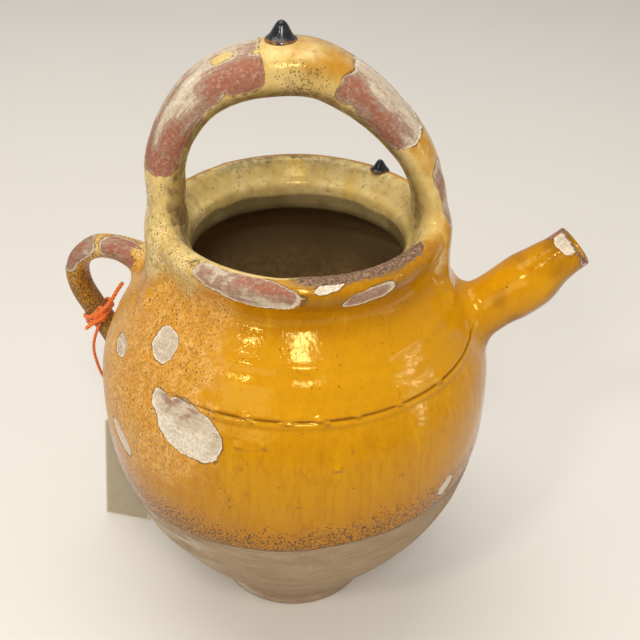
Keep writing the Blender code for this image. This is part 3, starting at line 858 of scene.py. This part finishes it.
def jug_painted(points, along, outer):
    """Painted values and relief in mm over part of the jug; along is from the crest, in mm."""
    azimuth = np.degrees(np.arctan2(points[..., 1], points[..., 0]))
    radius, high = np.hypot(points[..., 0], points[..., 1]), points[..., 2]
    depth, share = chip_depth("jug", azimuth, along * MM, radius, points)
    depth = np.where(outer, depth, NO_CHIP)
    line = np.where(outer, (high - glaze_height(points)) / MM, ALL_GLAZED)

    # Cream on the rim and under the bail's legs, tan and pitted on the left, pits above the line
    on_left = fade(degrees_from(azimuth, -155), 22, 60)
    by_left_leg = fade(degrees_from(azimuth, -162), 18, 50)
    by_right_leg = fade(np.abs(azimuth - 5), 14, 40)
    rim, crest = hump(along, 0.5, 4.2), hump(along, -1.0, 5.0)
    legs = ease(high, 0.214, 0.236) * np.maximum(by_left_leg, 0.45 * by_right_leg)
    cream = np.where(outer, np.clip(legs + 0.35 * rim, 0, 1), 0.98)
    low_left = 1 - 0.80 * fade(high, 0.118, 0.172) * (line > 0)
    aged = np.where(outer, on_left * low_left, 0.10)
    band = fade(line, 3, 24) * (0.75 + 0.25 * on_left)
    pitted = np.where(outer, 0.16 * on_left + 0.90 * band + 0.02, 0.08)

    # The rim is rubbed bare at the front right, and a little behind
    front_right = ease(azimuth, -98, -84) * fade(azimuth, -34, -18)
    worn = rim * 1.25 * front_right + crest * 0.60 * hump(azimuth, 100, 60)
    worn = worn + np.where(outer, 0.0, 0.20 + 0.34 * by_left_leg)
    inside = np.where(outer, 0.0, ease(-along + bumps(points, 0.012, 2) * 1.2, 21.5, 23.5))

    # Throwing rings, the glaze's edge, chips, the rim's swell and the seam
    grooves = bumps(points * (0.25, 0.25, 4.0), 0.022, 4) * 0.10 * outer
    grooves = grooves * (1 + 1.6 * (line < 0))
    for height, rise, wide in NECK_RINGS:
        grooves = grooves + outer * rise * hump(high, height, wide)
    relief = grooves + np.where(outer, GLAZE_STEP * ease(line, 0.0, 1.0) - GLAZE_STEP, 0.0)
    relief = relief - JUG_CHIP_DROP * ease(depth, -0.5, 0.7)
    relief = relief + 1.1 * front_right * hump(along, -2.5, 3.2)
    # Painted shade under the rim at the front right
    cut, pool = seam_detail(points, azimuth, 0.62 * front_right * hump(along, 13.0, 6.5))
    relief = (relief + np.where(outer, cut, 0.0)) * ease(high, 0.0003, 0.0030)
    pool = np.where(outer, pool, 0.0)
    values = depth, share, line, cream, aged, worn, inside, pitted, pool
    return dict(zip(PAINTED, values)), relief


# Rows next to the scored seam, as distances from it.
FINE_ROWS = np.array([0.0, 0.3, 0.6, 0.9, 1.2, 1.6, 2.2]) * MM
SKIN_INSET = 0.04 * MM      # a strap's skin stays this far inside the body's, where they blend
FLOW_SQUEEZE = 0.16         # length that a smear's noise sees, for each metre along the smear


def spaced(first, last, step, fine=(0.0,)):
    """Places from first to last about step apart, after fine offsets from the first."""
    count = max(int((last - first - fine[-1]) / step), 2)
    even = np.linspace(first + fine[-1], last, count)
    return np.concatenate([first + np.array(fine[:-1]), even])


def make_jug_skins(clay, others):
    """Lower body, shoulder and collar as three closed skins that meet at the CAD's joins."""
    seam = np.interp(-seam_height(AZIMUTH), -OUTER[:, 1], OUTER_ARC)
    collar = arc_at_height(OUTER, OUTER_ARC, COLLAR_HEIGHT)
    collar_inside = arc_at_height(INNER, INNER_ARC, COLLAR_HEIGHT)
    seam_inside = arc_at_height(INNER, INNER_ARC, SEAM_HEIGHT)
    underside = np.array([[r, 0.0] for r in (0.046, 0.040, 0.030, 0.020, 0.010, 0.003)])
    outer_line = np.vstack([OUTER, underside])
    outer_arc = arc_of(outer_line, 2)

    def outside(arcs):
        return turned_points(arcs, outer_line, outer_arc), arcs / MM, np.full(arcs.shape, True)

    def inside(arcs):
        arcs = np.broadcast_to(arcs, (len(arcs), COLUMNS))
        return turned_points(arcs, INNER, INNER_ARC), -arcs / MM, np.full(arcs.shape, False)

    def piece(name, slot, ring, *parts):
        grid, along, outer = (np.concatenate(group) for group in zip(*parts))
        painted, relief = jug_painted(grid, along, outer)
        grid = finish_skin(grid, ring, section_distance, others, 0.0, relief)
        skin_object(name + "_skin", grid, ring, painted, clay, name,
                    flow=grid * (FLOW_SQUEEZE, FLOW_SQUEEZE, 1.0))

    base = outer_arc[-1]
    down = spaced(0.0, base - seam.mean(), 0.00140, FINE_ROWS)[:, None]
    piece("lower_body", "ochre_glaze", False,
          inside(spaced(seam_inside, INNER_ARC[-1], 0.0045)[::-1, None]),
          outside(seam + down * ((base - seam) / (base - seam.mean()))))

    climb = seam.mean() - collar
    down = climb - spaced(0.0, climb, 0.0011, FINE_ROWS)[::-1, None]
    piece("shoulder", "ochre_glaze", True,
          outside(collar + down * ((seam - collar) / climb)),
          inside(spaced(collar_inside, seam_inside, 0.003)[::-1, None]))

    over = spaced(0.0, collar, 0.0009)[::-1, None]
    piece("collar", "cream_glaze", True, outside(np.broadcast_to(over, (len(over), COLUMNS))),
          inside(spaced(0.0009, collar_inside, 0.0010)[:, None]))


# ---- Swept skins ----------------------------------------------------------------------------
def sweep_painted(kind, sweep, grid, places, angle):
    """Painted values that every sweep starts from, its length and angle grids, and its flow."""
    along = np.broadcast_to(places[:, None], grid.shape[:2])
    turn = np.broadcast_to(angle[None, :], grid.shape[:2])
    radius = sweep.half_size(places)[:, None]
    painted = dict.fromkeys(PAINTED, np.zeros(grid.shape[:2]))
    painted["chip"], painted["clay"] = chip_depth(kind, turn, along, radius, grid)
    painted["line"] = painted["line"] + ALL_GLAZED
    painted["pitted"] = painted["pitted"] + 0.02
    return painted, along, turn, polar(radius, np.radians(turn), along * FLOW_SQUEEZE)


def make_bail_skin(clay):
    grid, places, angle = BAIL.skin(0.0011, 76)
    painted, along, turn, flow = sweep_painted("bail", BAIL, grid, places, angle)
    half = BAIL.length / 2
    upper = 0.5 - 0.5 * np.cos(np.radians(turn))
    over_top = hump(along - half, -0.016, 0.034) * ease(upper, 0.30, 0.85)
    amber = fade(along, 0.030, 0.060) * ease(upper, 0.15, 0.8)
    amber = np.maximum(amber, 0.8 * hump(along, 0.085, 0.03) * ease(upper, 0.2, 0.6))
    foot = ease(grid[..., 2], 0.214, 0.236)
    painted["cream"] = np.clip(0.98 - 0.44 * over_top - 0.62 * amber, 0, 1) * (0.15 + 0.85 * foot)
    in_front = ease(-np.sin(np.radians(turn - 6)), 0.50, 0.97)
    peppered = hump(along - half, -0.005, 0.012) * in_front
    left_leg = ease(along, half + 0.075, half + 0.095)
    painted["pitted"] = 0.05 + 0.40 * peppered + 0.10 * left_leg
    painted["aged"] = 0.10 + 0.42 * left_leg + 0.25 * peppered
    # Painted shade on the strap's underside, through the pool and shade and the wear and shade
    # values
    by_right = fade(along, 0.060, 0.100)
    under = ease(0.5 + 0.5 * np.cos(np.radians(turn)) - 0.20 * by_right, 0.44, 0.90)
    at_top = hump(along - half, 0.010, 0.035)
    painted["pool"] = np.maximum(0.25 * peppered, (0.44 + 0.18 * at_top) * under)
    painted["worn"] = np.minimum(0.24 + 0.46 * under + (0.12 + 0.14 * under) * left_leg, 0.70)
    relief = bumps(grid, 0.016, 6) * 0.28 - CHIP_DROP * ease(painted["chip"], -0.5, 0.7)
    relief = relief + hump(along - half, -0.003, 0.017) * ease(upper, 0.55, 0.9)
    grid = finish_skin(grid, False, BAIL.distance, [section_distance], SKIN_INSET, relief)
    skin_object("bail_handle_skin", grid, False, painted, clay, "bail_handle",
                flow=flow)


def make_side_skin(clay):
    grid, places, angle = SIDE.skin(0.0008, 48)
    painted, along, _, flow = sweep_painted("side", SIDE, grid, places, angle)
    low = ease(along, 0.045, 0.075)
    painted["aged"] = 0.75 + 0.25 * low
    painted["cream"] = 0.50 * (1 - low)
    painted["pitted"] = 0.30 + 0.35 * low
    painted["pool"] = 0.42 * low
    painted["worn"] = 0.12 + 0.50 * low
    chipped = ease(painted["chip"], -0.5, 0.7)
    relief = bumps(grid, 0.012, 6) * (0.25 - 0.22 * low) - CHIP_DROP * chipped - 0.25 * low
    grid = finish_skin(grid, False, SIDE.distance, [section_distance], SKIN_INSET, relief)
    skin_object("side_handle_skin", grid, False, painted, clay, "side_handle",
                flow=flow)


def make_spout_skin(clay):
    """Tube whose skin rolls over the lip and runs back down its bore."""
    grid, places, angle = SPOUT.skin(0.0009, 84)
    tip = along_line(SPOUT.line, SPOUT.arc, SPOUT.length)[:3]
    lip = [tip + (grid[-1] - tip) * scale + SPOUT.tangent[-1] * reach * MM
           for scale, reach in ((0.96, 0.7), (0.89, 1.0), (0.82, 0.8), (0.77, 0.1))]
    back = places[::-2]
    bore = []
    for place in back[1:]:
        middle = along_line(SPOUT.line, SPOUT.arc, place)[:3]
        radius = np.interp(place, (0.0, SPOUT.length), SPOUT_BORE)
        bore.append(middle + unit(SPOUT.ring(place, len(angle)) - middle) * radius)
    whole = np.concatenate([grid, np.stack(lip), np.stack(bore)])
    every = np.concatenate([places, np.full(4, SPOUT.length) + np.array([0.8, 1.4, 2.0, 2.8]) * MM,
                            2 * SPOUT.length + 0.003 - back[1:]])
    painted, along, turn, flow = sweep_painted("spout", SPOUT, whole, every, angle)
    above = np.cos(np.radians(turn))
    outside = along <= SPOUT.length
    painted["inside"] = ease(along, SPOUT.length + 0.0022, SPOUT.length + 0.008)
    painted["cream"] = 0.25 * fade(along, 0.0, 0.02)
    painted["worn"] = 0.92 * hump(along - SPOUT.length, 0.0008, 0.0022)
    facets = bumps(polar(0.016, np.radians(turn), along * 0.25), 0.0062, 9)
    relief = bumps(whole, 0.014, 6) * 0.28 + facets * 0.20
    relief = (relief - CHIP_DROP * ease(painted["chip"], -0.5, 0.7)) * outside
    # Painted shade on the spout's underside, with blotches and a brown lip near the tip
    blotch = ease(bumps(whole, 0.010, 21), 0.15, 0.8) * 0.35
    tip_side = ease(along, 0.050, 0.066) * ease(above, 0.2, 0.8) * 0.7
    pool = 0.05 + 0.72 * ease(-above, 0.1, 0.8) + blotch + tip_side
    painted["pool"] = np.clip(pool, 0, 0.9) * outside
    whole = finish_skin(whole, True, SPOUT.distance, [section_distance], SKIN_INSET, relief,
                        blended=len(grid))
    skin_object("spout_skin", whole, True, painted, clay, "spout", flow=flow)


def make_knob_skin(name, turn, out, height, size, glaze):
    """Pinched clay pellet, glazed black, with a skirt that spreads onto what it sits on."""
    place = np.array((out * cos(turn), out * sin(turn), height))
    outline = smooth_line([(0.03, 1.30), (0.20, 1.26), (0.38, 1.10), (0.55, 0.84), (0.72, 0.56),
                           (0.93, 0.27), (1.20, 0.03), (1.24, -0.14), (0.90, -0.40),
                           (0.03, -0.45)], 8)
    around = np.radians(np.linspace(0, 360, 48, endpoint=False))[None, :]
    radius, rise = outline[:, :1] * size, outline[:, 1:] * size
    grid = polar(radius, around, rise) + place
    pinched = bumps(grid, size * 0.8, 8) * size * 0.05
    grid = grid + outward_normals(grid, False) * pinched[..., None]
    painted = {"cream": fade(rise / size, -0.1, 0.35)}
    skin_object(name + "_skin", grid, False, painted, glaze, name)


# ---- String and tag -------------------------------------------------------------------------
STRING_RADIUS, LOOP_RADIUS, KNOTTED_RADIUS = 0.00095, 0.00120, 0.00122
PLIES, PITCH = 3, 0.0052
GAP = 0.0003
TIE_RADIUS, TIE_HEIGHT, TIE_SLOPE = 0.1231, 0.1579, radians(32.5)
TIE_REACH = (0.0074, 0.0093)
TIE_START, TIE_END = 152, 469
TAG_SIZE = (0.030, 0.080, 0.0010)
TAG_CLIP = 0.007
TAG_PIVOT = np.array((-0.1149, 0.0266, 0.1608))
TAG_HEADING, TAG_LEAN, TAG_TILT = radians(-10), radians(9), radians(2)
TAG_DROP, TAG_SHIFT = 0.1193, 0.0050
TAG_HOLE_RADIUS, TAG_HOLE_INSET = 0.0024, 0.0060
KNOT_RADIUS = 0.0032
HOLE_HIGH = TAG_SIZE[1] / 2 - TAG_HOLE_INSET


def tag_axes():
    """Level along the card, then across it, up it and out of its face."""
    level = np.array((cos(TAG_HEADING), sin(TAG_HEADING), 0.0))
    back = np.array((-level[1], level[0], 0.0))
    leaning = np.array((0.0, 0.0, cos(TAG_LEAN))) + back * sin(TAG_LEAN)
    across = level * cos(TAG_TILT) - leaning * sin(TAG_TILT)
    up = leaning * cos(TAG_TILT) + level * sin(TAG_TILT)
    return level, across, up, np.cross(across, up)


def tag_point(along, high, out=0.0):
    """Place of a point on the card: from its middle, along it, up it and off its face."""
    level, across, up, face = tag_axes()
    middle = TAG_PIVOT + level * TAG_SHIFT - np.array((0, 0, TAG_DROP))
    along, high, out = (np.asarray(value, float)[..., None] for value in (along, high, out))
    return middle + across * along + up * high + face * out


def twisted(name, path, twine, body, node, ring=False, radius=STRING_RADIUS):
    """Twisted string along a dense path, as a closed mesh tube with a groove between plies."""
    if ring:
        ahead = np.roll(path, -1, axis=0) - np.roll(path, 1, axis=0)
    else:
        ahead = np.gradient(path, axis=0)
    ahead = unit(ahead)
    out = [unit(np.cross(ahead[0], (0.31, 0.52, 0.79)))]
    for direction in ahead[1:]:
        out.append(unit(out[-1] - direction * np.dot(out[-1], direction)))
    out = np.stack(out)
    third = np.cross(ahead, out)
    arc = arc_of(path, 3)
    turns = 2 * pi * arc / PITCH
    if ring:
        turns = turns * round(arc[-1] / PITCH) * PITCH / arc[-1] * (len(path) - 1) / len(path)
    angle = 2 * pi * np.arange(18) / 18
    lobe = np.abs(np.cos(PLIES / 2 * (angle[None, :] - turns[:, None] / PLIES * 2)))
    size = radius * (0.74 + 0.26 * lobe)
    if not ring:
        end = np.minimum(arc, arc[-1] - arc)
        size = size * np.sqrt(ease(end, -0.0005, 0.0008))[:, None]
    grid = (path[:, None] + (np.cos(angle)[None, :, None] * out[:, None]
                             + np.sin(angle)[None, :, None] * third[:, None]) * size[..., None])
    painted = {"groove": 1 - lobe}
    return skin_object(name, grid, ring, painted, twine, node, body)


def dense(points):
    """Smooth path through the points, its own points evenly spaced."""
    line = smooth_line(points, 10)
    arc = arc_of(line, 3)
    return along_line(line, arc, np.linspace(0, arc[-1], int(arc[-1] / 0.00035) + 2))


def strand_route():
    """The hanging strand's points, as in the CAD source."""
    top = tag_point(0, HOLE_HIGH + 0.0080)
    up = tag_axes()[2]
    return np.array([TAG_PIVOT - (0, 0, KNOT_RADIUS + 2 * GAP),
                     TAG_PIVOT + (-0.0024, -0.0016, -0.0090),
                     TAG_PIVOT + (-0.0054, -0.0020, -0.0190),
                     TAG_PIVOT + (-0.0056, -0.0008, -0.0310),
                     TAG_PIVOT + (-0.0022, 0.0014, -0.0480),
                     top + up * (STRING_RADIUS + GAP + 0.0080),
                     top + up * (STRING_RADIUS + GAP)])


def tie_route():
    """Three rounds of string up the handle's leg, and its loose end."""
    outward = np.array((cos(SIDE_TURN), sin(SIDE_TURN), 0.0))
    nearer = np.array((-sin(SIDE_TURN), cos(SIDE_TURN), 0.0))
    middle = outward * TIE_RADIUS + np.array((0, 0, TIE_HEIGHT))
    off_leg = outward * cos(TIE_SLOPE) - np.array((0, 0, sin(TIE_SLOPE)))
    up_leg = np.cross(off_leg, nearer)
    route = []
    for step in range(72):
        share = step / 71
        angle = radians(TIE_START + (TIE_END + 720 - TIE_START) * share)
        loose = 1.03 + 0.07 * sin(3.1 * angle)
        slide = (share - 0.5) * 0.0046 + 0.0008 * sin(2.3 * angle)
        round_leg = off_leg * TIE_REACH[0] * cos(angle) + nearer * TIE_REACH[1] * sin(angle)
        route.append(middle + round_leg * loose + up_leg * slide)
    return route + [TAG_PIVOT + (0.0016, -0.0012, 0.0044), (-0.1078, 0.0266, 0.1712),
                    (-0.1036, 0.0283, 0.1778), (-0.1003, 0.0303, 0.1822)]


def knot_route():
    """A loose end, then a tangle of the knot's size that comes out at the strand."""
    route = [TAG_PIVOT + (-0.0082, -0.0040, -0.0066), TAG_PIVOT + (-0.0052, -0.0036, -0.0040)]
    for step in range(30):
        t = 4 * pi * (step / 30) + 0.4
        lean, size = (0.7, 0.00132) if step > 15 else (-0.4, 0.00098)
        x, y, z = sin(t) + 2 * sin(2 * t), -sin(3 * t) * 1.3 + lean, cos(t) - 2 * cos(2 * t)
        leaning = np.array((x * cos(lean) - z * sin(lean), y, z * cos(lean) + x * sin(lean)))
        route.append(TAG_PIVOT + (0, 0, 0.0008) + leaning * size)
    return route + [TAG_PIVOT - (0, 0, KNOT_RADIUS)]


def make_string(twine):
    """The string round the leg, the knot, the hanging strand and the card's loop."""
    loop = twisted("string_loop_twine", dense(tie_route()), twine, "jug", "string_loop",
                   radius=LOOP_RADIUS)
    knot = twisted("string_knot_twine", dense(knot_route()), twine, "jug", "string_knot",
                   radius=KNOTTED_RADIUS)
    path = dense(strand_route())
    strand = twisted("tag_string_twine", path, twine, "tag", "tag_string")
    rise, swing = 0.0040, 0.0030
    turn = 2 * pi * np.arange(60) / 60
    ring = tag_point(0 * turn, HOLE_HIGH + rise + rise * np.sin(turn), swing * np.cos(turn))
    card_loop = twisted("card_loop_twine", ring, twine, "tag", "card_loop", ring=True)
    round(float(arc_of(path, 3)[-1]), 4)


def make_card(stock):
    """Thin card with clipped top corners, a punched hole and a slight bow."""
    width, height, thick = TAG_SIZE
    side, top = width / 2, height / 2
    rows = np.linspace(-top, top, 82)
    half = side - np.clip(rows - (top - TAG_CLIP), 0, None)
    across = np.linspace(-1, 1, 32)
    section = np.concatenate([np.stack([across, np.full(32, 0.5)], -1),
                              np.stack([across[::-1], np.full(32, -0.5)], -1)])
    along = half[:, None] * section[None, :, 0]
    high = rows[:, None] + 0 * along
    bow = 0.0007 * (1 - (along / side) ** 2) * (0.5 + 0.5 * np.sin(high * 40)) - 0.0003
    grid = tag_point(along, high, section[None, :, 1] * thick + bow)
    # Width of the paler band along the edges, a painted highlight
    lit_edge = 0.0012
    edge = np.maximum(np.abs(along) - half[:, None] + lit_edge, 0) / lit_edge
    edge = np.maximum(edge, ease(np.abs(high), top - lit_edge, top))
    card = skin_object("tag_card_stock", grid, False, {"edge": edge}, stock,
                       "tag_card", "tag")
    angle = 2 * pi * np.arange(32)[None] / 32
    reach = np.linspace(-0.004, 0.004, 5)[:, None] + 0 * angle
    angle = angle + 0 * reach
    drill(card, tag_point(TAG_HOLE_RADIUS * np.cos(angle),
                          HOLE_HIGH + TAG_HOLE_RADIUS * np.sin(angle), reach))


def drill(obj, grid):
    """Cut a capped tube of points out of the object's mesh."""
    index, faces = grid_faces(*grid.shape[:2], False)
    faces += [index[0].tolist()[::-1], index[-1].tolist()]
    cutter = add_object("drill", solid_mesh("drill", grid.reshape(-1, 3), faces))
    boolean = obj.modifiers.new("drill", "BOOLEAN")
    boolean.operation = "DIFFERENCE"
    boolean.object = cutter
    graph = bpy.context.evaluated_depsgraph_get()
    drilled = bpy.data.meshes.new_from_object(obj.evaluated_get(graph))
    obj.modifiers.clear()
    obj.data = drilled
    bpy.data.objects.remove(cutter)


# ---- Assembly -------------------------------------------------------------------------------
add_camera(place=(0.00756, -0.40433, 0.45926), heading=0.01259, pitch=0.60360, roll=0.03361,
           lens=50.6)

clay, slip = earthenware(), black_slip()
twine, stock = orange_twine(), card_stock()

make_string(twine)
make_card(stock)
make_jug_skins(clay, [BAIL.distance, SIDE.distance, SPOUT.distance])
make_bail_skin(clay)
make_side_skin(clay)
make_spout_skin(clay)
make_knob_skin("handle_knob", BAIL_TURN, -0.009, 0.3338, 0.0062, slip)
make_knob_skin("rim_knob", radians(50), 0.0675, 0.2470, 0.0043, slip)

FLOOR_REACH = 4
corners = [(x * FLOOR_REACH, y * FLOOR_REACH, 0) for x, y in ((-1, -1), (1, -1), (1, 1), (-1, 1))]
floor_mesh = bpy.data.meshes.new("floor")
floor_mesh.from_pydata(corners, [], [(0, 1, 2, 3)])
floor_mesh.materials.append(studio_floor())
add_object("floor", floor_mesh)

world = bpy.data.worlds.new("studio")
world.use_nodes = True
background = world.node_tree.nodes["Background"]
background.inputs["Color"].default_value = (0.88, 0.85, 0.81, 1.0)
background.inputs["Strength"].default_value = 0.455
bpy.context.scene.world = world

# Two large soft panels fill the room, two lamps shine in the glaze below the collar, and a broken
# window at the right shines beside the spout: each pane's direction and size.
LAMP_COLOR, WINDOW_COLOR = (1.0, 0.95, 0.84), (1.0, 1.0, 1.0)
WINDOW_SPOT, WINDOW_RADIANCE = (0.0587, -0.0700, 0.195), 165
WINDOWS = [((0.94, -0.21, 0.25), (0.035, 0.030)), ((0.95, -0.28, 0.11), (0.030, 0.045)),
           ((0.96, -0.08, 0.20), (0.026, 0.028)), ((0.93, -0.34, 0.03), (0.035, 0.030)),
           ((0.92, -0.12, 0.38), (0.028, 0.045)), ((0.90, -0.40, 0.18), (0.022, 0.030))]
add_panel("overhead", (-0.30, 0.35, 2.2), (0, 0.25, 0.10), (1.8, 1.8), 30, (1.0, 0.97, 0.93))
add_panel("front", (-1.3, -2.4, 1.1), (0, 0, 0.12), (1.6, 1.0), 9, (1.0, 0.96, 0.90))
mirrored_panel("lamp_left", (-0.0212, -0.0792, 0.210), (-0.44, -0.58, 0.685), 1.5,
               (0.18, 0.18), 4.8, LAMP_COLOR)
mirrored_panel("lamp_right", (0.004, -0.077, 0.213), (0.08, -0.635, 0.765), 1.5,
               (0.26, 0.42), 10.0, LAMP_COLOR)
for number, (direction, size) in enumerate(WINDOWS):
    power = WINDOW_RADIANCE * pi * size[0] * size[1]
    mirrored_panel(f"window_{number}", WINDOW_SPOT, direction, 1.6, size, power, WINDOW_COLOR)
bpy.context.scene.view_settings.view_transform = "Standard"
